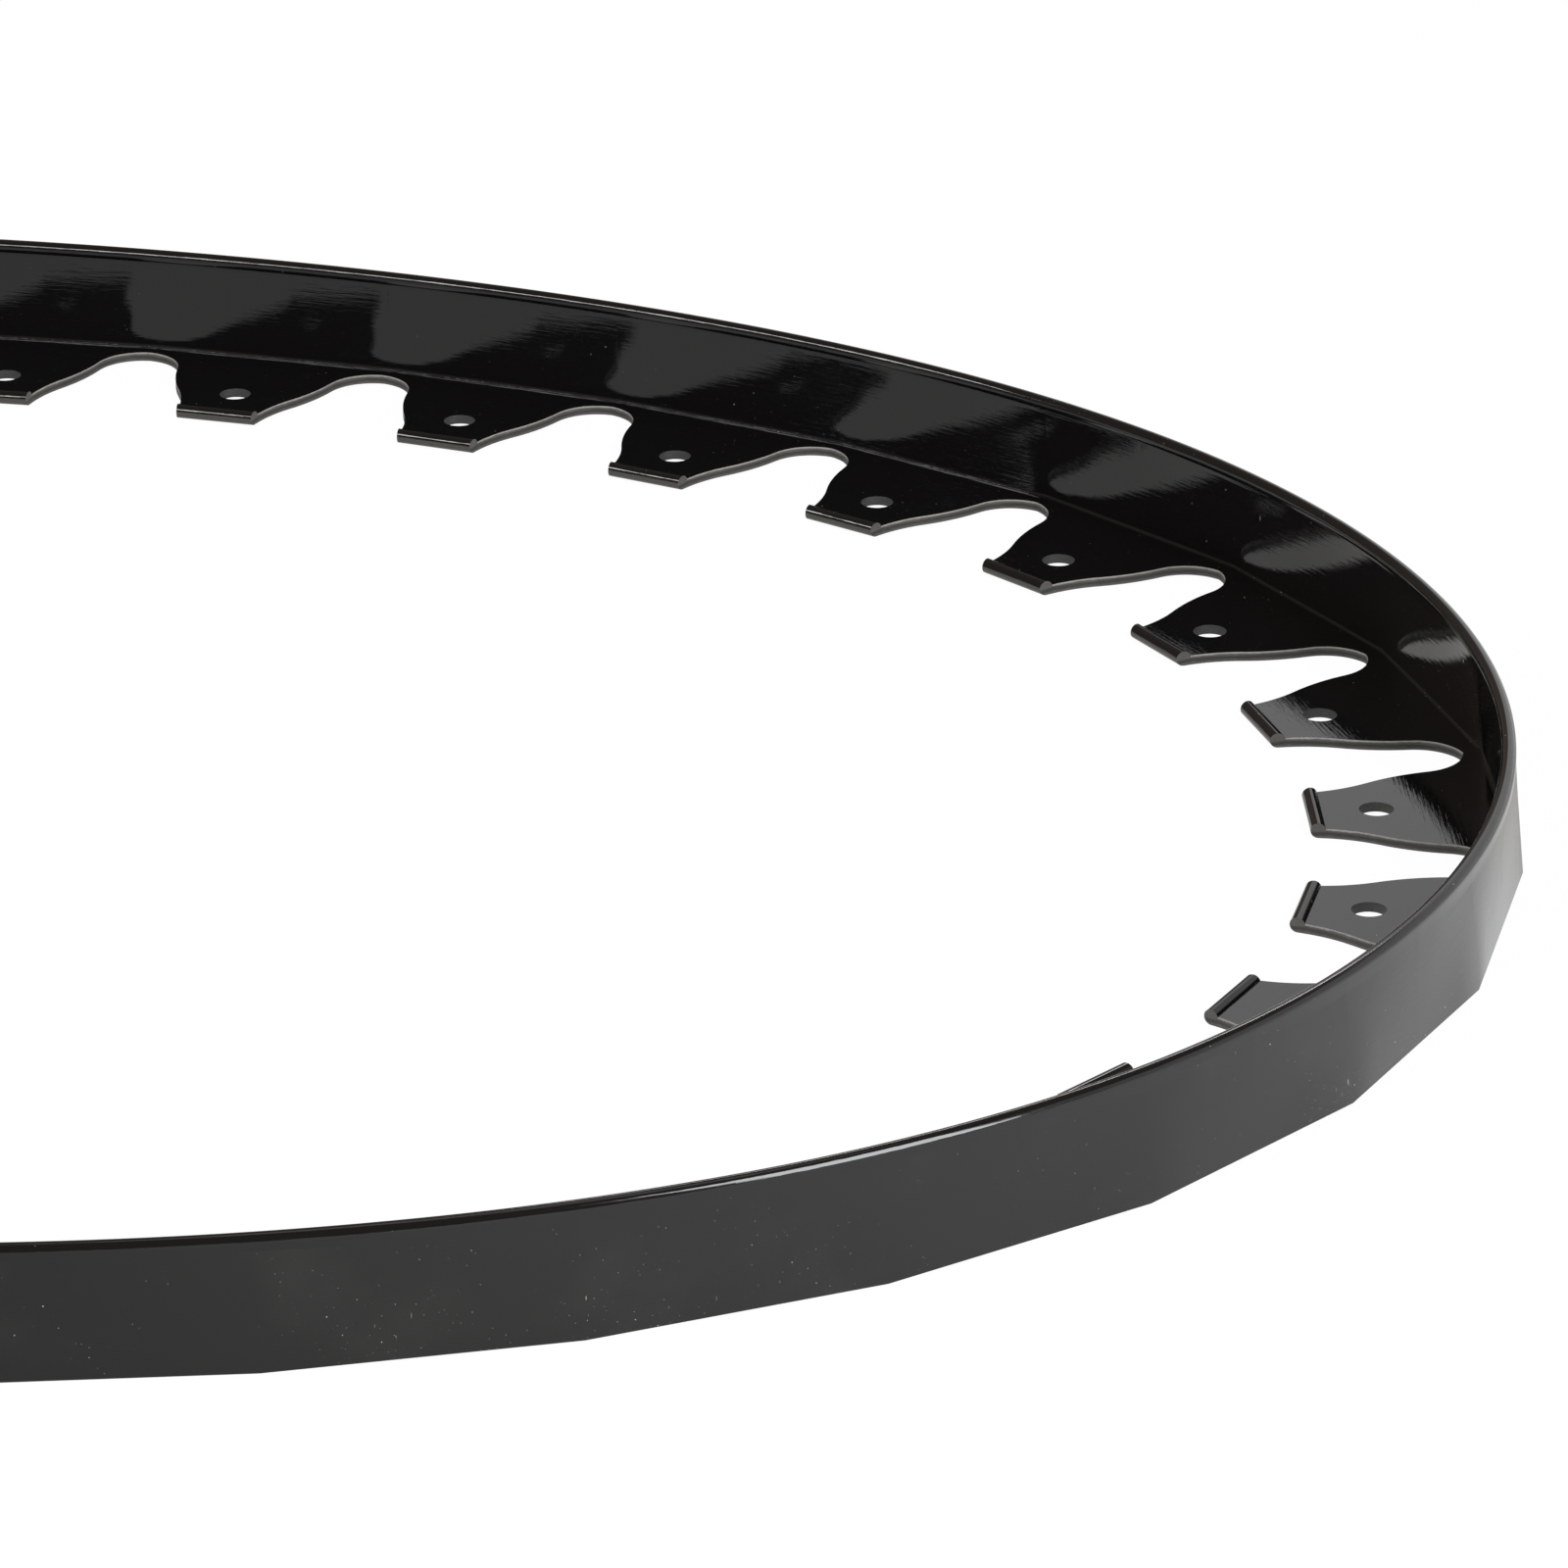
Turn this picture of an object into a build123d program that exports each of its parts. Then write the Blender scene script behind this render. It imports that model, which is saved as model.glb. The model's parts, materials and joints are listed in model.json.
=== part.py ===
from build123d import *
from math import cos, pi, radians, tan
import os

# No-dig landscape edging: one extruded L-shaped strip, notched into tabs, bent round into an oval hoop.
# It bends at its notches, so it is made as one segment for each tab, from notch to notch, in order along
# the strip: counter-clockwise seen from above, from the front free end at -X round to the back one.
# Frame: millimetres, +Z up, the flange's underside on Z = 0, the origin under the middle of the oval.

# The strip and its bend
segments = 35  # tabs in the strip; an odd number puts a tab at +X and the two free ends at -X
pitch = 84.0  # from notch to notch, along the foot of the wall's outer face
end_bend = 5.05  # degrees: extra bend at the notches by the oval's ends, and missing from its sides
end_gap = 1.0  # between the two free ends

# The upright wall, with the bead along its rim
wall_height = 38.0
wall_thickness = 2.0
rim_diameter = 4.4
rim_neck = 1.5  # height of upright wall under the rim's bead

# The flange and its tabs; a reach is measured inwards from the foot of the wall's outer face
flange_thickness = 3.0
crease_radius = 0.8  # in the angle between the flange and the wall
tab_reach = 58.6
stake_hole_diameter = 10.3
stake_hole_reach = 38.0
tip_bead_diameter = 4.6  # a full round along the tab's tip, level with the flange's underside

# The notch between two tabs: a round end, sides that flare, then a shoulder that runs to the tip
notch_reach = 7.9  # to the nearest point of the notch
notch_radius = 15.1
flare_radius = 61.1
shoulder_radius = 44.3
throat_slope = 12.0  # degrees between the notch's side and the square line, where the flare starts
flare_slope = 31.4  # the same, where the flare meets the shoulder
tip_slope = 10.0  # the same, at the tip

middle_segment = (segments + 1) / 2
rim_foot = wall_height - rim_diameter - rim_neck


def bend_after(segment):
    """Degrees that the strip turns at the notch after this segment; 0 and the last are the free ends."""
    steps = segment + 0.5 - middle_segment
    return 360 / segments + end_bend * cos(4 * pi * steps / segments)


def segment_planes():
    """One plane for each segment: at the middle of the wall's foot, X along the strip and Y inwards."""
    here = Vector(0, 0, 0)
    heading = 0
    middles = []
    for segment in range(1, segments + 1):
        along = Vector(1, 0, 0).rotate(Axis.Z, heading)
        middles.append((here + along * (pitch / 2), along))
        here = here + along * pitch
        heading += bend_after(segment)
    square = 90 - middles[segments // 2][1].get_signed_angle(Vector(1, 0, 0), Vector(0, 0, -1))
    turned = [(spot.rotate(Axis.Z, square), along.rotate(Axis.Z, square)) for spot, along in middles]
    free_end = turned[0][0] - turned[0][1] * (pitch / 2)
    centre = Vector((free_end.X + turned[segments // 2][0].X) / 2, free_end.Y, 0)
    return [Plane(origin=spot - centre, x_dir=along, z_dir=(0, 0, 1)) for spot, along in turned]


def end_plane(bend, side, trim=0.0):
    """The upright plane through the notch at one end of a segment, facing the segment's middle."""
    inwards = Vector(-side, 0, 0).rotate(Axis.Z, side * bend / 2)
    return Plane(origin=Vector(side * pitch / 2, 0, 0) + inwards * trim, z_dir=inwards)


def tab_plan(tip):
    """Half a notch, the tab with its square tip at the given reach, and half of the next notch."""
    with BuildSketch() as plan:
        with BuildLine():
            arch = JernArc((pitch / 2, notch_reach), (-1, 0), notch_radius, throat_slope - 90)
            flare = JernArc(arch @ 1, arch % 1, flare_radius, flare_slope - throat_slope)
            shoulder = JernArc(flare @ 1, flare % 1, shoulder_radius, tip_slope - flare_slope)
            rest = tip - (shoulder @ 1).Y
            corner = shoulder @ 1 + Vector(-rest * tan(radians(tip_slope)), rest)
            Polyline(shoulder @ 1, corner, (0, tip))
            Polyline(arch @ 0, (pitch / 2, wall_thickness / 2), (0, wall_thickness / 2))
            mirror(about=Plane.YZ)
        make_face()
    return plan.sketch


def tip_bead():
    """The round bead along the tab's tip, its ends cut to the tab's plan."""
    radius = tip_bead_diameter / 2
    with BuildPart() as bead:
        with BuildSketch():
            add(tab_plan(tab_reach))
        extrude(amount=tip_bead_diameter)
        with BuildSketch(Plane.YZ):
            with Locations((tab_reach - radius, radius)):
                Circle(radius)
        extrude(amount=pitch / 2, both=True, mode=Mode.INTERSECT)
    return bead.part


def half_wall(bend):
    """The wall and rim from a tab's middle to its notch: straight at the foot, an arc along the rim."""
    half_bend = bend / 2
    radius = pitch / 2 / tan(radians(half_bend))
    centre = (0, radius)
    with BuildPart() as half:
        with BuildSketch():
            with BuildLine():
                inner_end = pitch / 2 - wall_thickness * tan(radians(half_bend))
                Polyline((0, 0), (pitch / 2, 0), (inner_end, wall_thickness), (0, wall_thickness), close=True)
            make_face()
        with BuildSketch(Plane.XY.offset(rim_foot)):
            with BuildLine():
                outer = CenterArc(centre, radius, -90, half_bend)
                inner = CenterArc(centre, radius - wall_thickness, -90, half_bend)
                Line(outer @ 0, inner @ 0)
                Line(outer @ 1, inner @ 1)
            make_face()
        loft(ruled=True)
        with BuildSketch(Plane.YZ):
            bead_radius = rim_diameter / 2
            with Locations((bead_radius, wall_height - bead_radius)):
                Circle(bead_radius)
            with Locations((0, rim_foot)):
                Rectangle(wall_thickness, rim_neck + bead_radius, align=(Align.MIN, Align.MIN))
        revolve(axis=Axis((*centre, 0), (0, 0, 1)), revolution_arc=half_bend)
    return half.part


def strip_segment(segment):
    """One tab's length of the strip, cut off at the notch on each side, with its stake hole."""
    bend_before = bend_after(segment - 1)
    bend_next = bend_after(segment)
    with BuildPart() as piece:
        with BuildSketch():
            add(tab_plan(tab_reach - tip_bead_diameter / 2))
            with Locations((0, stake_hole_reach)):
                Circle(stake_hole_diameter / 2, mode=Mode.SUBTRACT)
        extrude(amount=flange_thickness)
        split(bisect_by=end_plane(bend_before, -1), keep=Keep.TOP)
        split(bisect_by=end_plane(bend_next, 1), keep=Keep.TOP)
        add(tip_bead())
        add(half_wall(bend_next))
        add(mirror(half_wall(bend_before), about=Plane.YZ, mode=Mode.PRIVATE))
        foot_of_wall = (0, wall_thickness, flange_thickness)
        fillet(piece.edges().sort_by_distance(foot_of_wall)[:2], crease_radius)
        if segment == 1:
            split(bisect_by=end_plane(bend_before, -1, end_gap / 2), keep=Keep.TOP)
        if segment == segments:
            split(bisect_by=end_plane(bend_next, 1, end_gap / 2), keep=Keep.TOP)
    return piece.part


os.makedirs("parts", exist_ok=True)
for number, place in enumerate(segment_planes(), 1):
    name = f"edging_segment_{number:02d}"
    finished = place.location * strip_segment(number)
    finished.label = name
    export_step(finished, f"parts/{name}.step")
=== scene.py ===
# Landscape edging hoop: the finish of the notched plastic strip, and the studio that it stands in.
# The strip's shape is all in the frame, with one CAD node for each tab-long segment. Here each segment gets
# its plastic.

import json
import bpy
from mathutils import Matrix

bl_info = {
    "name": "Landscape edging hoop",
    "version": (1, 0, 0),
    "blender": (4, 5, 0),
    "location": "View3D > Sidebar > Edging",
    "description": "Finishes a notched lawn edging strip bent into an oval hoop, and sets up its studio",
    "category": "Object",
}

from math import atan2, cos, radians, sin

import bmesh
import bpy
from bpy.props import FloatProperty, FloatVectorProperty, PointerProperty
from mathutils import Matrix, Vector

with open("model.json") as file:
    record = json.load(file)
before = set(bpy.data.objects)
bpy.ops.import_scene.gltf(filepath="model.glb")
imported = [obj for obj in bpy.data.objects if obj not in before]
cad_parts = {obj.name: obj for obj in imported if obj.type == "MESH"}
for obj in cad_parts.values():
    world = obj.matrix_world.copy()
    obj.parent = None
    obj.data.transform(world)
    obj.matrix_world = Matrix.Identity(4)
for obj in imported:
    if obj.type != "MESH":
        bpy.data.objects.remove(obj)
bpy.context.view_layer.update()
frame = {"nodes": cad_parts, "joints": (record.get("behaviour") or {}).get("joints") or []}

# Heights and reaches on every segment, in metres from the foot of the wall's outer face
FLANGE_THICKNESS = 0.003
WALL_THICKNESS = 0.002
TIP_REACH = 0.0586
TIP_BEAD = 0.0046
STAKE_HOLE_REACH = 0.038
STAKE_HOLE_RADIUS = 0.00515
RIM_FOOT = 0.0336
BEND_REACH = 0.018  # how far from a notch the foot of the wall bends
NOTCH_START = 0.005  # the notches and holes are all farther inwards than this
FLANGE_CLEAR = 0.004  # higher than all of the flange, lower than the top of the bead along the tip
END_FACE_START = 0.04  # a segment's end faces are farther than this from its middle
CREASE_FULL = 0.0003  # the crease's mask is full up to this far from the wall and the flange,
CREASE_GONE = 0.001  # and gone from here
FACE_MARGIN = 0.0005  # room round a face that a mask has to hold
HAIR = 0.00005  # room for a face that lies right at a height or a reach

# How much of a face's normal lies along an axis, from 0 to 1
LEANING = 0.5
MOSTLY = 0.7
SQUARE_ON = 0.9

# The painted floor reflection on the foot of the bead along the tip fades out between these shares of its
# height
REFLECTION_FADE = (0.55, 0.65)

# The plastic's fine detail: depths in metres, the rest as shares
DRAWN_OUT = 0.05  # how much slower a die line changes along the strip than across it
WAVE_DEPTH = 0.00006
# Painted highlight: the dust colour and the extra specks all along the crease make a pale line, standing in
# for the light the fillet would catch
OUTER_FILM = 0.012  # how much of the dust's colour lies in the smudges on the outer wall,
CREASE_HIGHLIGHT = 0.026  # and all along the crease
SHINY_DUST, OUTER_DUST = 0.08, 0.34  # the amount of specks on the shiny faces and on the outer wall,
CREASE_DUST_AND_HIGHLIGHT = 0.2  # and how much more of them lies in the crease
SMUDGE_ROUGHNESS = 0.05
SPECK_ROUGHNESS = 0.5

# Where dust and smudges lie: between which values of the patches' noise they come in
DUST_PATCHES = (0.35, 0.75)
SMUDGE_PATCHES = (0.5, 0.8)
DUST_HEIGHTS = (0.004, 0.03)  # full below the first, and thinned to WALL_DUST above the second
WALL_DUST = 0.4
SPECK_EDGE = (0.06, 0.12)  # how far from its middle a speck fades out, as a share of its cell
FAINTEST_SPECK = 0.12
FAINT_SHARE = 0.2  # of all specks, the share that is as faint as that

# Each kind of dust: its stretch, its turn, its scale, and its chance where there is dust
DUST_KINDS = {
    "specks": ((1.0, 1.0, 1.0), (0.0, 0.0, 0.0), 560.0, 0.8),
    "fine specks": ((1.0, 1.0, 1.0), (0.4, 0.0, 0.7), 1100.0, 1.5),
    "fibres": ((1.0, 1.0, 0.25), (0.6, 0.9, 0.3), 560.0, 0.25),
    "leaning fibres": ((1.0, 1.0, 0.2), (1.1, 0.4, 1.1), 520.0, 0.2),
}

# The punched edges
CUT_ROUGHNESS = 0.55
CUT_GRAIN_DEPTH = 0.0002
GRAIN_STRETCH = (0.35, 0.35, 1.0)
# The painted highlight along a punched edge's top: its height, and how far its lower edge jags
LIP_HEIGHT = 0.0004
LIP_JAGS = 0.0006
TEAR_HEIGHT = 0.35  # as a share of the flange's thickness
TEAR_WANDER = 0.0012
TEAR_FADE = (0.0002, 0.0009)

WHITE = (1.0, 1.0, 1.0, 1.0)

# The floor's painted glow in reflections: its strength on the dim left and the bright right, and what it
# gains farther back
FLOOR_DIM, FLOOR_BRIGHT = 0.54, 1.22
FLOOR_CHANGE = (0.05, 0.6)  # metres rightwards, between the two
FLOOR_SLANT = 3.0  # how far that change moves rightwards for each metre farther back
FLOOR_GAIN = 0.4  # for each metre farther back
# The painted glow's tint: warm where it is dim, cool where it is bright
FLOOR_WARM = (1.0, 0.99, 0.96, 1.0)
FLOOR_COOL = (0.88, 0.95, 1.0, 1.0)
COOL_FROM = 0.9  # the strength above which the floor turns cool
FLOOR_GLOW = 0.96  # share of the floor's own white, the rest being the light and shadow that fall on it

# The backdrop in reflections: where it fades, by height, by depth and by a slanted line on its left
BACKDROP_TOP = (0.5, 0.66)
BACKDROP_FRONT = (-0.25, 0.1)
BACKDROP_LEFT = (-0.035, 0.02)
BACKDROP_SLANT = 0.231
BACKDROP_COLOUR = (0.9, 0.9, 0.9, 1.0)
DARK_ROOM = (0.2, 0.16, 0.135, 1.0)


class EdgingFinish(bpy.types.PropertyGroup):
    plastic_colour: FloatVectorProperty(
        name="Plastic colour",
        description="The black of the extruded plastic",
        default=(0.003, 0.003, 0.003),
        min=0.0,
        max=1.0,
        subtype="COLOR",
    )
    inner_roughness: FloatProperty(
        name="Inner roughness",
        description="Roughness of the polished inner wall and the tabs",
        default=0.025,
        min=0.0,
        max=1.0,
        subtype="FACTOR",
    )
    outer_roughness: FloatProperty(
        name="Outer roughness",
        description="Roughness of the satin outer face of the wall",
        default=0.22,
        min=0.0,
        max=1.0,
        subtype="FACTOR",
    )
    rim_roughness: FloatProperty(
        name="Rim roughness",
        description="Roughness of the round bead along the wall's rim",
        default=0.11,
        min=0.0,
        max=1.0,
        subtype="FACTOR",
    )
    # Painted highlight: a light band along the top of each punched edge, standing in for the light caught by
    # its rolled-over lip
    cut_lip_highlight_colour: FloatVectorProperty(
        name="Cut lip colour",
        description="The bright lip of a punched edge, where the punch went in",
        default=(0.24, 0.23, 0.21),
        min=0.0,
        max=1.0,
        subtype="COLOR",
    )
    cut_colour: FloatVectorProperty(
        name="Cut colour",
        description="The dull grey of a punched edge",
        default=(0.06, 0.056, 0.051),
        min=0.0,
        max=1.0,
        subtype="COLOR",
    )
    cut_dark_colour: FloatVectorProperty(
        name="Cut tear colour",
        description="The torn streak along the middle of a punched edge",
        default=(0.02, 0.02, 0.018),
        min=0.0,
        max=1.0,
        subtype="COLOR",
    )
    # Painted shade: a stake hole's wall is darker than the other punched edges, standing in for the shade
    # inside the hole
    stake_hole_shade_colour: FloatVectorProperty(
        name="Stake hole colour",
        description="The dull dark grey of a stake hole's wall",
        default=(0.03, 0.03, 0.029),
        min=0.0,
        max=1.0,
        subtype="COLOR",
    )
    # Painted reflection: the lower half of the bead along each tab's tip is made lighter, standing in for the
    # floor mirrored in it
    bead_foot_reflection_colour: FloatVectorProperty(
        name="Bead foot colour",
        description="The scuffed lower half of the bead along each tab's tip",
        default=(0.04, 0.036, 0.032),
        min=0.0,
        max=1.0,
        subtype="COLOR",
    )
    dust_colour: FloatVectorProperty(
        name="Dust colour",
        description="The specks of dust that cling to the plastic",
        default=(0.42, 0.41, 0.38),
        min=0.0,
        max=1.0,
        subtype="COLOR",
    )
    die_line_depth: FloatProperty(
        name="Die line depth",
        description="Depth of the fine lines that the extruder's die leaves along the strip",
        default=0.00004,
        min=0.0,
        precision=7,
        unit="LENGTH",
    )


class EdgingStage(bpy.types.PropertyGroup):
    floor_colour: FloatVectorProperty(
        name="Floor colour",
        description="The plain pale floor",
        default=(0.86, 0.86, 0.86),
        min=0.0,
        max=1.0,
        subtype="COLOR",
    )
    floor_size: FloatProperty(
        name="Floor size",
        description="Side of the square floor",
        default=14.0,
        unit="LENGTH",
    )
    room_light: FloatProperty(
        name="Room light",
        description="Strength of the even light from all round",
        default=0.6,
    )
    camera_place: FloatVectorProperty(
        name="Camera place",
        description="Where the camera stands",
        default=(0.83736, -2.17051, 0.96622),
        subtype="TRANSLATION",
        unit="LENGTH",
    )
    camera_azimuth: FloatProperty(
        name="Camera azimuth",
        description="Heading of the camera's view, clockwise from +Y seen from above",
        default=radians(-13.2086),
        subtype="ANGLE",
    )
    camera_dip: FloatProperty(
        name="Camera dip",
        description="How far the camera looks down",
        default=radians(22.8435),
        subtype="ANGLE",
    )
    camera_roll: FloatProperty(
        name="Camera roll",
        description="Turn of the picture about its middle",
        default=radians(-0.56),
        subtype="ANGLE",
    )
    camera_lens: FloatProperty(
        name="Camera lens",
        description="Focal length on a 36 mm wide film, in millimetres",
        default=193.291,
    )


# Node trees


def add_node(tree, kind, inputs=None, **settings):
    """A new node with its settings, and its inputs set to values or joined to sockets."""
    node = tree.nodes.new(kind)
    for name, value in settings.items():
        setattr(node, name, value)
    for key, value in (inputs or {}).items():
        if isinstance(value, bpy.types.NodeSocket):
            tree.links.new(value, node.inputs[key])
        else:
            node.inputs[key].default_value = value
    return node


def calculate(tree, operation, *values):
    """The result of a Math node on one, two or three values."""
    return add_node(tree, "ShaderNodeMath", dict(enumerate(values)), operation=operation).outputs[0]


def product(tree, first, *others):
    """The values multiplied, one after another."""
    for value in others:
        first = calculate(tree, "MULTIPLY", first, value)
    return first


def calculate_vector(tree, operation, inputs):
    """The vector that a Vector Math node makes of its inputs."""
    return add_node(tree, "ShaderNodeVectorMath", inputs, operation=operation).outputs["Vector"]


def parts_of(tree, vector):
    """The vector's parts, as the outputs X, Y and Z."""
    return add_node(tree, "ShaderNodeSeparateXYZ", {0: vector}).outputs


def remap(tree, value, low, high, to_low=0.0, to_high=1.0):
    """The value's range low to high carried smoothly to another, and held at its ends."""
    inputs = {"Value": value, "From Min": low, "From Max": high, "To Min": to_low, "To Max": to_high}
    return add_node(tree, "ShaderNodeMapRange", inputs, interpolation_type="SMOOTHSTEP").outputs["Result"]


def mix_colours(tree, factor, first, second):
    """The first colour, carried to the second as the factor goes from 0 to 1."""
    return add_node(tree, "ShaderNodeMix", {0: factor, 6: first, 7: second}, data_type="RGBA").outputs[2]


def bump(tree, height, depth, facing):
    """The facing, turned by a relief of that height and depth."""
    inputs = {"Height": height, "Distance": depth, "Strength": 1.0, "Normal": facing}
    return add_node(tree, "ShaderNodeBump", inputs).outputs["Normal"]


def new_group(name, inputs, outputs):
    """An empty node group with its sockets; returns the group, its input node and its output node."""
    group = bpy.data.node_groups.new(name, "ShaderNodeTree")
    for socket, kind in inputs.items():
        group.interface.new_socket(socket, in_out="INPUT", socket_type=kind)
    for socket, kind in outputs.items():
        group.interface.new_socket(socket, in_out="OUTPUT", socket_type=kind)
    return group, add_node(group, "NodeGroupInput"), add_node(group, "NodeGroupOutput")


def give_out(group, result, outputs):
    """Join each value to the group's output of that name."""
    for name, value in outputs.items():
        group.links.new(value, result.inputs[name])


def strip_regions():
    """Masks of the strip's surfaces, from a place and a facing in the segment's own axes."""
    masks = ("Cut", "Flange", "Outer Wall", "Rim", "Crease", "Stake Hole", "Bead Foot Reflection")
    group, given, result = new_group(
        "Strip regions",
        {"Place": "NodeSocketVector", "Facing": "NodeSocketVector", "Free End": "NodeSocketFloat"},
        dict.fromkeys(masks, "NodeSocketFloat"),
    )
    place = parts_of(group, given.outputs["Place"])
    facing = parts_of(group, given.outputs["Facing"])
    along = calculate(group, "ABSOLUTE", facing["X"])
    up = calculate(group, "ABSOLUTE", facing["Z"])

    # The bead along the tip is round, has a painted floor reflection at its foot, and has punched ends
    at_tip = calculate(group, "GREATER_THAN", place["Y"], TIP_REACH - TIP_BEAD - 2 * HAIR)
    bead = product(group, at_tip, calculate(group, "LESS_THAN", along, LEANING))
    bead_end = product(group, at_tip, calculate(group, "GREATER_THAN", along, MOSTLY))
    fade_start, fade_end = (share * TIP_BEAD for share in REFLECTION_FADE)
    low_on_bead = remap(group, place["Z"], fade_start, fade_end, 1.0, 0.0)

    # The punched edges: the notches and stake holes, the bead's ends and the strip's free ends
    upright = calculate(group, "LESS_THAN", up, LEANING)
    below_top = calculate(group, "LESS_THAN", place["Z"], FLANGE_THICKNESS + HAIR)
    inside = calculate(group, "GREATER_THAN", place["Y"], NOTCH_START)
    notch = product(group, upright, below_top, inside, calculate(group, "SUBTRACT", 1.0, bead))
    end_reach = product(group, place["X"], given.outputs["Free End"])
    strip_end = product(
        group,
        calculate(group, "GREATER_THAN", end_reach, END_FACE_START),
        calculate(group, "GREATER_THAN", along, SQUARE_ON),
    )
    cut = calculate(group, "MAXIMUM", calculate(group, "MAXIMUM", notch, bead_end), strip_end)
    middle_of_hole = (0.0, STAKE_HOLE_REACH, 0.0)
    flat_place = add_node(group, "ShaderNodeCombineXYZ", {"X": place["X"], "Y": place["Y"]}).outputs[0]
    from_hole = add_node(
        group, "ShaderNodeVectorMath", {0: flat_place, 1: middle_of_hole}, operation="DISTANCE"
    ).outputs["Value"]

    # The smooth faces
    flat = calculate(group, "GREATER_THAN", facing["Z"], MOSTLY)
    on_flange = calculate(group, "LESS_THAN", place["Z"], FLANGE_CLEAR)
    outwards = calculate(group, "LESS_THAN", facing["Y"], -LEANING)
    under_rim = calculate(group, "LESS_THAN", place["Z"], RIM_FOOT)

    # The crease between the wall and the flange
    wall_near, wall_far = WALL_THICKNESS + CREASE_FULL, WALL_THICKNESS + CREASE_GONE
    flange_near, flange_far = FLANGE_THICKNESS + CREASE_FULL, FLANGE_THICKNESS + CREASE_GONE
    crease = product(
        group,
        remap(group, place["Y"], wall_near, wall_far, 1.0, 0.0),
        remap(group, place["Z"], flange_near, flange_far, 1.0, 0.0),
        calculate(group, "GREATER_THAN", place["Y"], WALL_THICKNESS - FACE_MARGIN),
    )
    outputs = {
        "Cut": cut,
        "Flange": product(group, flat, on_flange),
        "Outer Wall": product(group, outwards, under_rim),
        "Rim": calculate(group, "SUBTRACT", 1.0, under_rim),
        "Crease": crease,
        "Stake Hole": calculate(group, "LESS_THAN", from_hole, STAKE_HOLE_RADIUS + FACE_MARGIN),
        "Bead Foot Reflection": product(group, bead, low_on_bead),
    }
    give_out(group, result, outputs)
    return group


def foot_bend():
    """The wall's facing, turned towards the next segment's near a notch, where the foot of the wall bends."""
    group, given, result = new_group(
        "Foot bend",
        {
            "Place": "NodeSocketVector",
            "Facing": "NodeSocketVector",
            "Half Pitch": "NodeSocketFloat",
            "Turn Before": "NodeSocketFloat",
            "Turn After": "NodeSocketFloat",
        },
        {"Facing": "NodeSocketVector"},
    )
    place = parts_of(group, given.outputs["Place"])
    facing = given.outputs["Facing"]
    foot = remap(group, place["Z"], 0.0, RIM_FOOT, 1.0, 0.0)
    edge = calculate(group, "SUBTRACT", given.outputs["Half Pitch"], BEND_REACH)
    after = calculate(group, "SUBTRACT", place["X"], edge)
    after = remap(group, after, 0.0, 2 * BEND_REACH, 0.0, 2.0)
    before = calculate(group, "SUBTRACT", product(group, place["X"], -1.0), edge)
    before = remap(group, before, 0.0, 2 * BEND_REACH, 0.0, 2.0)
    turn = product(group, after, given.outputs["Turn After"])
    turn = calculate(group, "SUBTRACT", turn, product(group, before, given.outputs["Turn Before"]))
    turn = product(group, turn, foot)
    sideways = calculate_vector(group, "CROSS_PRODUCT", {0: (0.0, 0.0, 1.0), 1: facing})
    shift = calculate_vector(group, "SCALE", {0: sideways, "Scale": turn})
    turned = calculate_vector(group, "ADD", {0: facing, 1: shift})
    give_out(group, result, {"Facing": calculate_vector(group, "NORMALIZE", {0: turned})})
    return group


def sharp_crease():
    """The facing, turned in the crease to the wall's or the flange's, so that the fillet mirrors no lamp."""
    group, given, result = new_group(
        "Sharp crease",
        {"Facing": "NodeSocketVector", "Crease": "NodeSocketFloat"},
        {"Facing": "NodeSocketVector"},
    )
    facing = parts_of(group, given.outputs["Facing"])
    crease = given.outputs["Crease"]
    on_wall = calculate(group, "LESS_THAN", facing["Z"], MOSTLY)
    sharp = {
        "X": product(group, facing["X"], on_wall),
        "Y": product(group, facing["Y"], on_wall),
        "Z": calculate(group, "SUBTRACT", 1.0, on_wall),
    }
    turned = add_node(group, "ShaderNodeCombineXYZ", sharp).outputs[0]
    turned = calculate_vector(group, "SCALE", {0: turned, "Scale": crease})
    off_crease = calculate(group, "SUBTRACT", 1.0, crease)
    kept = calculate_vector(group, "SCALE", {0: given.outputs["Facing"], "Scale": off_crease})
    mixed = calculate_vector(group, "ADD", {0: kept, 1: turned})
    give_out(group, result, {"Facing": calculate_vector(group, "NORMALIZE", {0: mixed})})
    return group


def die_lines():
    """The fine lines that the die leaves along the strip, and the slow unevenness of its faces."""
    group, given, result = new_group(
        "Die lines",
        {"Place": "NodeSocketVector", "Flange": "NodeSocketFloat"},
        {"Lines": "NodeSocketFloat", "Waves": "NodeSocketFloat"},
    )
    place = parts_of(group, given.outputs["Place"])
    across = calculate(group, "ADD", product(group, place["Y"], given.outputs["Flange"]), place["Z"])
    drawn_out = product(group, place["X"], DRAWN_OUT)
    profile = add_node(group, "ShaderNodeCombineXYZ", {"X": drawn_out, "Y": across}).outputs[0]
    lines = {"Vector": profile, "Scale": 1100.0, "Detail": 3.0, "Roughness": 0.6}
    waves = {"Vector": given.outputs["Place"], "Scale": 45.0, "Detail": 1.0}
    outputs = {
        "Lines": add_node(group, "ShaderNodeTexNoise", lines).outputs["Fac"],
        "Waves": add_node(group, "ShaderNodeTexNoise", waves).outputs["Fac"],
    }
    give_out(group, result, outputs)
    return group


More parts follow.
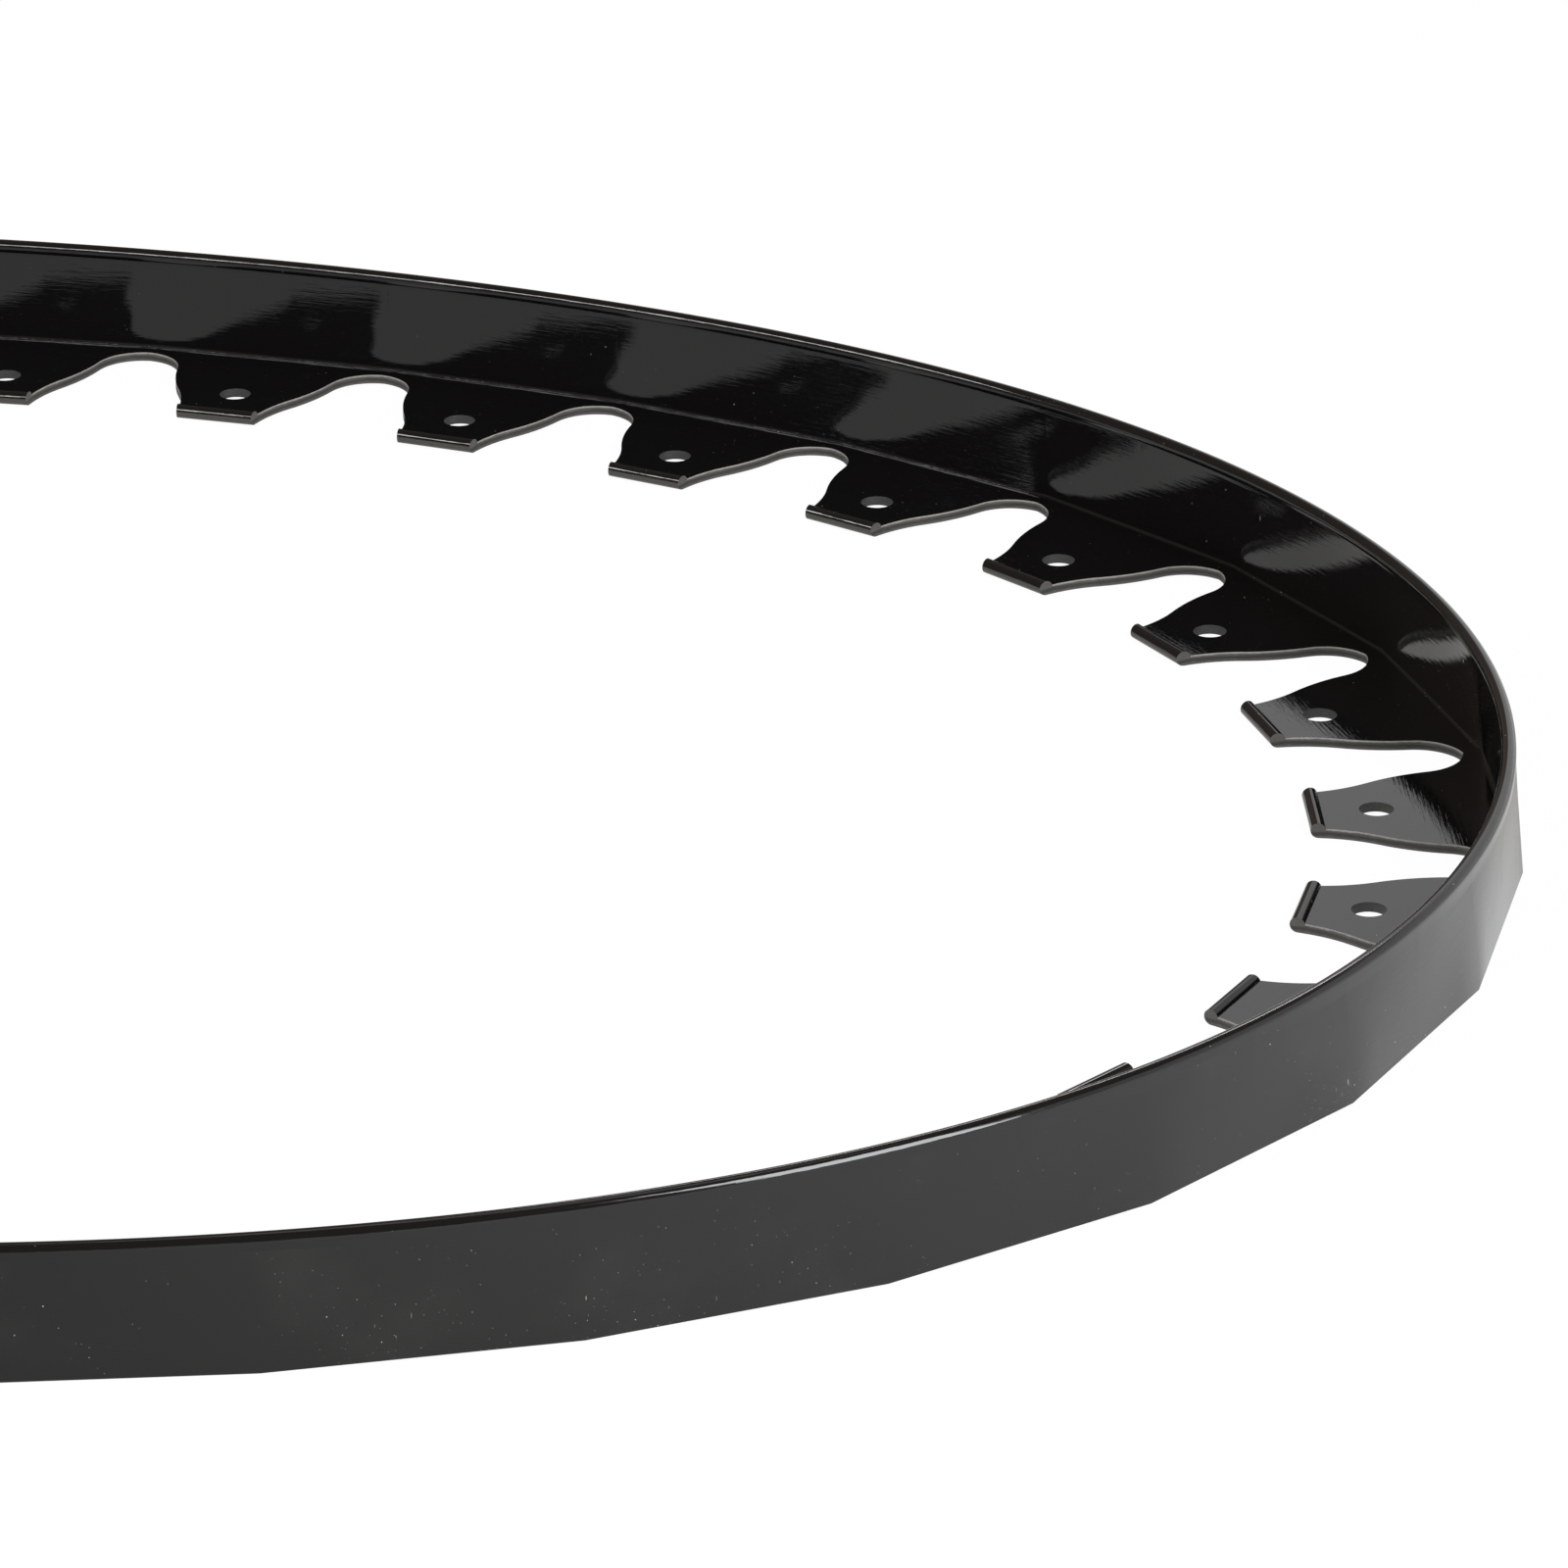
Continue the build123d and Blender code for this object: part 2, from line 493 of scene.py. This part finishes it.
def dust_and_smudges():
    """Specks and fibres of dust, and the faint marks of handling."""
    group, given, result = new_group(
        "Dust and smudges",
        {"Place": "NodeSocketVector", "Amount": "NodeSocketFloat"},
        {"Specks": "NodeSocketFloat", "Smudges": "NodeSocketFloat"},
    )
    place = given.outputs["Place"]
    patches = {"Vector": place, "Scale": 28.0, "Detail": 4.0}
    patches = add_node(group, "ShaderNodeTexNoise", patches).outputs["Fac"]
    height = parts_of(group, place)["Z"]
    share = product(
        group,
        remap(group, patches, *DUST_PATCHES),
        given.outputs["Amount"],
        remap(group, height, *DUST_HEIGHTS, 1.0, WALL_DUST),
    )
    specks = 0.0
    for label, (stretch, turn, scale, chance) in DUST_KINDS.items():
        spread = {"Vector": place, "Rotation": turn, "Scale": stretch}
        spread = add_node(group, "ShaderNodeMapping", spread, label=label).outputs[0]
        cells = add_node(group, "ShaderNodeTexVoronoi", {"Vector": spread, "Scale": scale}).outputs
        lots = add_node(group, "ShaderNodeSeparateColor", {0: cells["Color"]}).outputs
        limit = calculate(group, "MULTIPLY_ADD", share, -chance, 1.0)
        found = product(
            group,
            remap(group, cells["Distance"], *SPECK_EDGE, 1.0, 0.0),
            calculate(group, "GREATER_THAN", lots["Red"], limit),
            remap(group, lots["Green"], FAINT_SHARE, 1.0, FAINTEST_SPECK, 1.0),
        )
        specks = calculate(group, "MAXIMUM", specks, found)
    give_out(group, result, {"Specks": specks, "Smudges": remap(group, patches, *SMUDGE_PATCHES)})
    return group


def punched_edge():
    """The bands of a punched edge: a painted highlight on the rolled-over lip along its top, and the tear
    along its middle.
    """
    group, given, result = new_group(
        "Punched edge",
        {"Place": "NodeSocketVector"},
        {"Lip Highlight": "NodeSocketFloat", "Tear": "NodeSocketFloat", "Grain": "NodeSocketFloat"},
    )
    drawn_out = {"Vector": given.outputs["Place"], "Scale": GRAIN_STRETCH}
    drawn_out = add_node(group, "ShaderNodeMapping", drawn_out).outputs[0]
    grain = {"Vector": drawn_out, "Scale": 1500.0, "Detail": 4.0}
    grain = add_node(group, "ShaderNodeTexNoise", grain).outputs["Fac"]
    wander = {"Vector": given.outputs["Place"], "Scale": 120.0, "Detail": 2.0}
    wander = add_node(group, "ShaderNodeTexNoise", wander).outputs["Fac"]
    place = parts_of(group, given.outputs["Place"])
    jagged = calculate(group, "MULTIPLY_ADD", grain, LIP_JAGS, place["Z"])
    lip = product(
        group,
        remap(group, jagged, FLANGE_THICKNESS - LIP_HEIGHT, FLANGE_THICKNESS),
        calculate(group, "LESS_THAN", place["Z"], FLANGE_THICKNESS + 2 * HAIR),
        calculate(group, "LESS_THAN", place["Y"], TIP_REACH - TIP_BEAD),
    )
    middle = calculate(group, "MULTIPLY_ADD", wander, -TEAR_WANDER, jagged)
    off_middle = calculate(group, "SUBTRACT", middle, TEAR_HEIGHT * FLANGE_THICKNESS)
    off_middle = calculate(group, "ABSOLUTE", off_middle)
    tear = remap(group, off_middle, *TEAR_FADE, 1.0, 0.0)
    give_out(group, result, {"Lip Highlight": lip, "Tear": tear, "Grain": grain})
    return group


def lay_out_segments(count):
    """Each segment's middle at the wall's foot, its heading, and the turns to its neighbours' headings."""
    joints = {joint["name"]: joint for joint in frame["joints"]}
    points = [Vector(joints[f"notch_{number:02d}_flex"]["pos_m"]).xy for number in range(1, count)]
    bends = [radians(joints[f"notch_{number:02d}_flex"]["range_deg"][1]) for number in range(1, count)]
    steps = [after - before for before, after in zip(points, points[1:])]
    pitch = steps[0].length
    headings = [atan2(step.y, step.x) for step in steps]
    headings = [headings[0] - bends[0], *headings, headings[-1] + bends[-1]]
    first = points[0] - pitch / 2 * Vector((cos(headings[0]), sin(headings[0])))
    last = points[-1] + pitch / 2 * Vector((cos(headings[-1]), sin(headings[-1])))
    middles = [first, *((before + after) / 2 for before, after in zip(points, points[1:])), last]
    return pitch, list(zip(middles, headings, [0.0, *bends], [*bends, 0.0]))


def black_plastic(name, pitch, layout, free_end, groups, finish):
    """Glossy black extruded plastic with matte punched edges, laid out along one segment."""
    middle, heading, bend_before, bend_after = layout
    material = bpy.data.materials.new(name)
    material.use_nodes = True
    tree = material.node_tree
    tree.nodes.clear()
    surface = add_node(tree, "ShaderNodeTexCoord").outputs
    place = {"Vector": surface["Object"], "Location": (*middle, 0.0), "Rotation": (0.0, 0.0, heading)}
    place = add_node(tree, "ShaderNodeMapping", place, vector_type="TEXTURE").outputs[0]
    facing = {"Vector": surface["Normal"], "Rotation": (0.0, 0.0, -heading)}
    facing = add_node(tree, "ShaderNodeMapping", facing, vector_type="VECTOR").outputs[0]

    def placed(group, inputs):
        """The outputs of one of the groups, placed in this material."""
        return add_node(tree, "ShaderNodeGroup", inputs, node_tree=groups[group]).outputs

    regions = placed("regions", {"Place": place, "Facing": facing, "Free End": free_end})
    cut, outer, crease = regions["Cut"], regions["Outer Wall"], regions["Crease"]
    lines = placed("lines", {"Place": place, "Flange": regions["Flange"]})
    dust_amount = remap(tree, outer, 0.0, 1.0, SHINY_DUST, OUTER_DUST)
    # More specks in the crease: partly dust, and partly the painted highlight line there
    dust_amount = calculate(tree, "MULTIPLY_ADD", crease, CREASE_DUST_AND_HIGHLIGHT, dust_amount)
    dust = placed("dust", {"Place": surface["Object"], "Amount": dust_amount})
    edge = placed("edge", {"Place": place})

    pale_dust = (*finish.dust_colour, 1.0)
    film = product(tree, dust["Smudges"], product(tree, outer, OUTER_FILM))
    # Painted highlight: a pale line of dust colour along the crease, in place of the fillet's own highlight
    film = calculate(tree, "MAXIMUM", film, product(tree, crease, CREASE_HIGHLIGHT))
    colour = mix_colours(tree, film, (*finish.plastic_colour, 1.0), pale_dust)
    # Painted reflection: the foot of the tip's bead is made lighter, standing in for the floor mirrored in it
    colour = mix_colours(tree, regions["Bead Foot Reflection"], colour, (*finish.bead_foot_reflection_colour, 1.0))
    colour = mix_colours(tree, dust["Specks"], colour, pale_dust)
    cut_colour, torn_colour = (*finish.cut_colour, 1.0), (*finish.cut_dark_colour, 1.0)
    cut_colour = mix_colours(tree, edge["Tear"], cut_colour, torn_colour)
    # Painted highlight: the light lip colour along the top of each punched edge
    cut_colour = mix_colours(tree, edge["Lip Highlight"], cut_colour, (*finish.cut_lip_highlight_colour, 1.0))
    # Painted shade: the stake holes' walls get a darker grey, standing in for the shade inside them
    cut_colour = mix_colours(tree, regions["Stake Hole"], cut_colour, (*finish.stake_hole_shade_colour, 1.0))
    colour = mix_colours(tree, cut, colour, cut_colour)

    roughness = remap(tree, outer, 0.0, 1.0, finish.inner_roughness, finish.outer_roughness)
    rim_roughness = product(tree, regions["Rim"], finish.rim_roughness)
    roughness = calculate(tree, "MAXIMUM", roughness, rim_roughness)
    roughness = calculate(tree, "MULTIPLY_ADD", dust["Smudges"], SMUDGE_ROUGHNESS, roughness)
    roughness = calculate(tree, "ADD", roughness, product(tree, dust["Specks"], SPECK_ROUGHNESS))
    roughness = calculate(tree, "MAXIMUM", roughness, product(tree, cut, CUT_ROUGHNESS))

    bend = {
        "Place": place,
        "Facing": add_node(tree, "ShaderNodeNewGeometry").outputs["Normal"],
        "Half Pitch": pitch / 2,
        "Turn Before": bend_before / 2,
        "Turn After": bend_after / 2,
    }
    normal = placed("bend", bend)["Facing"]
    normal = placed("crease", {"Facing": normal, "Crease": crease})["Facing"]
    normal = bump(tree, lines["Lines"], finish.die_line_depth, normal)
    normal = bump(tree, lines["Waves"], WAVE_DEPTH, normal)
    normal = bump(tree, product(tree, edge["Grain"], cut), CUT_GRAIN_DEPTH, normal)
    plastic = {"Base Color": colour, "Roughness": roughness, "Normal": normal}
    plastic = add_node(tree, "ShaderNodeBsdfPrincipled", plastic).outputs["BSDF"]
    add_node(tree, "ShaderNodeOutputMaterial", {"Surface": plastic})
    return material


class EDGING_OT_finish_segments(bpy.types.Operator):
    """Give each segment of the strip its black plastic, laid out along that segment"""

    bl_idname = "edging.finish_segments"
    bl_label = "Finish the strip's segments"

    def execute(self, context):
        finish = context.scene.edging_finish
        groups = {
            "regions": strip_regions(),
            "bend": foot_bend(),
            "crease": sharp_crease(),
            "lines": die_lines(),
            "dust": dust_and_smudges(),
            "edge": punched_edge(),
        }
        names = sorted(frame["nodes"])
        pitch, layouts = lay_out_segments(len(names))
        for number, (name, layout) in enumerate(zip(names, layouts), 1):
            free_end = {1: -1.0, len(names): 1.0}.get(number, 0.0)
            material = black_plastic(f"Black plastic {number:02d}", pitch, layout, free_end, groups, finish)
            for slot in frame["nodes"][name].material_slots:
                slot.material = material
        return {"FINISHED"}


def floor_material(colour):
    """Pale floor: it takes light and shadow and is white to the camera; in reflections it glows with painted
    light, dim on the left, brighter and cooler to the right and farther back.
    """
    material = bpy.data.materials.new("Pale floor")
    material.use_nodes = True
    tree = material.node_tree
    tree.nodes.clear()
    place = parts_of(tree, add_node(tree, "ShaderNodeTexCoord").outputs["Object"])
    rays = add_node(tree, "ShaderNodeLightPath").outputs
    from_camera = rays["Is Camera Ray"]

    # Painted light, seen only in reflections: the floor's glow grows rightwards and farther back
    farther = calculate(tree, "MAXIMUM", place["Y"], 0.0)
    rightwards = calculate(tree, "MULTIPLY_ADD", farther, -FLOOR_SLANT, place["X"])
    strength = remap(tree, rightwards, *FLOOR_CHANGE, FLOOR_DIM, FLOOR_BRIGHT)
    strength = calculate(tree, "MULTIPLY_ADD", farther, FLOOR_GAIN, strength)
    strength = product(tree, strength, calculate(tree, "SUBTRACT", 1.0, from_camera))
    strength = calculate(tree, "ADD", strength, from_camera)
    shown = calculate(tree, "SUBTRACT", strength, COOL_FROM)
    shown = mix_colours(tree, shown, FLOOR_WARM, FLOOR_COOL)
    shown = mix_colours(tree, from_camera, shown, WHITE)

    matte = add_node(tree, "ShaderNodeBsdfDiffuse", {"Color": (*colour, 1.0)}).outputs[0]
    white = add_node(tree, "ShaderNodeEmission", {"Color": shown, "Strength": strength}).outputs[0]
    seen = calculate(tree, "MAXIMUM", from_camera, rays["Is Glossy Ray"])
    seen = calculate(tree, "MAXIMUM", seen, rays["Is Transmission Ray"])
    share = product(tree, seen, FLOOR_GLOW)
    mixed = add_node(tree, "ShaderNodeMixShader", {0: share, 1: matte, 2: white}).outputs[0]
    add_node(tree, "ShaderNodeOutputMaterial", {"Surface": mixed})
    return material


def studio_world(room_light):
    """Even light all round; in reflections a white backdrop low down on one side of a dark room."""
    world = bpy.data.worlds.new("Studio")
    world.use_nodes = True
    tree = world.node_tree
    tree.nodes.clear()
    direction = parts_of(tree, add_node(tree, "ShaderNodeTexCoord").outputs["Generated"])
    rays = add_node(tree, "ShaderNodeLightPath").outputs
    rightwards = calculate(tree, "MULTIPLY_ADD", direction["Y"], BACKDROP_SLANT, direction["X"])
    backdrop = product(
        tree,
        remap(tree, direction["Z"], *BACKDROP_TOP, 1.0, 0.0),
        remap(tree, direction["Y"], *BACKDROP_FRONT),
        remap(tree, rightwards, *BACKDROP_LEFT),
    )
    room = mix_colours(tree, backdrop, DARK_ROOM, BACKDROP_COLOUR)
    light = (room_light, room_light, room_light, 1.0)
    colour = mix_colours(tree, rays["Is Glossy Ray"], light, room)
    colour = mix_colours(tree, rays["Is Camera Ray"], colour, WHITE)
    background = add_node(tree, "ShaderNodeBackground", {"Color": colour, "Strength": 1.0}).outputs[0]
    add_node(tree, "ShaderNodeOutputWorld", {"Surface": background})
    return world


def softbox(name, place, target, size, power, colour=(1.0, 1.0, 1.0)):
    """A rectangular lamp that faces the target."""
    lamp = bpy.data.lights.new(name, "AREA")
    lamp.color = colour
    lamp.shape = "RECTANGLE"
    lamp.size, lamp.size_y = size
    lamp.energy = power
    holder = bpy.data.objects.new(name, lamp)
    holder.location = place
    holder.visible_camera = False
    holder.rotation_euler = (Vector(target) - Vector(place)).to_track_quat("-Z", "Y").to_euler()
    bpy.context.scene.collection.objects.link(holder)


def aim_camera(stage):
    """The camera where the stage's settings put it, looking along its azimuth and dip, turned by its roll."""
    dip, azimuth, roll = stage.camera_dip, stage.camera_azimuth, stage.camera_roll
    ahead = Vector((sin(azimuth) * cos(dip), cos(azimuth) * cos(dip), -sin(dip)))
    right = Vector((cos(azimuth), -sin(azimuth), 0.0))
    up = right.cross(ahead)
    turned_right = cos(roll) * right + sin(roll) * up
    turned_up = cos(roll) * up - sin(roll) * right
    view = Matrix((turned_right, turned_up, -ahead)).transposed().to_4x4()
    camera = bpy.data.objects.new("Camera", bpy.data.cameras.new("Camera"))
    camera.data.sensor_width = 36.0
    camera.data.lens = stage.camera_lens
    camera.data.clip_end = 50.0
    camera.matrix_world = Matrix.Translation(stage.camera_place) @ view
    bpy.context.scene.collection.objects.link(camera)
    bpy.context.scene.camera = camera


class EDGING_OT_set_stage(bpy.types.Operator):
    """Lay the floor, hang the lamps and set up the camera"""

    bl_idname = "edging.set_stage"
    bl_label = "Set the stage"

    def execute(self, context):
        stage = context.scene.edging_stage
        sheet = bmesh.new()
        bmesh.ops.create_grid(sheet, x_segments=1, y_segments=1, size=stage.floor_size / 2)
        mesh = bpy.data.meshes.new("Floor")
        sheet.to_mesh(mesh)
        sheet.free()
        mesh.materials.append(floor_material(stage.floor_colour))
        floor = bpy.data.objects.new("Floor", mesh)
        context.scene.collection.objects.link(floor)

        context.scene.world = studio_world(stage.room_light)
        softbox("Overhead lamp", place=(0.4, 0.6, 2.4), target=(0.1, 0.0, 0.0), size=(1.6, 0.7), power=3.0)
        softbox("Left lamp", place=(-0.84, -0.8, 1.08), target=(0.15, 0.3, 0.0), size=(1.5, 0.32), power=20.0)
        softbox(
            "Right lamp",
            place=(1.6, -0.76, 0.7),
            target=(0.42, -0.33, 0.0),
            size=(0.65, 1.1),
            power=29.0,
            colour=(0.95, 0.98, 1.0),
        )
        softbox("Back lamp", place=(0.27, 1.58, 1.24), target=(0.48, -0.25, 0.0), size=(0.8, 0.12), power=3.2)
        aim_camera(stage)
        context.scene.view_settings.view_transform = "Standard"
        return {"FINISHED"}


class EDGING_PT_panel(bpy.types.Panel):
    bl_idname = "EDGING_PT_panel"
    bl_label = "Edging"
    bl_space_type = "VIEW_3D"
    bl_region_type = "UI"
    bl_category = "Edging"

    def draw(self, context):
        for settings in (context.scene.edging_finish, context.scene.edging_stage):
            column = self.layout.column()
            for name in settings.__annotations__:
                column.prop(settings, name)
        self.layout.operator("edging.finish_segments")
        self.layout.operator("edging.set_stage")


CLASSES = (
    EdgingFinish,
    EdgingStage,
    EDGING_OT_finish_segments,
    EDGING_OT_set_stage,
    EDGING_PT_panel,
)


def register():
    for cls in CLASSES:
        bpy.utils.register_class(cls)
    bpy.types.Scene.edging_finish = PointerProperty(type=EdgingFinish)
    bpy.types.Scene.edging_stage = PointerProperty(type=EdgingStage)


def unregister():
    del bpy.types.Scene.edging_stage
    del bpy.types.Scene.edging_finish
    for cls in reversed(CLASSES):
        bpy.utils.unregister_class(cls)


def main():
    register()
    bpy.ops.edging.finish_segments()
    bpy.ops.edging.set_stage()


if __name__ == "__main__":
    main()
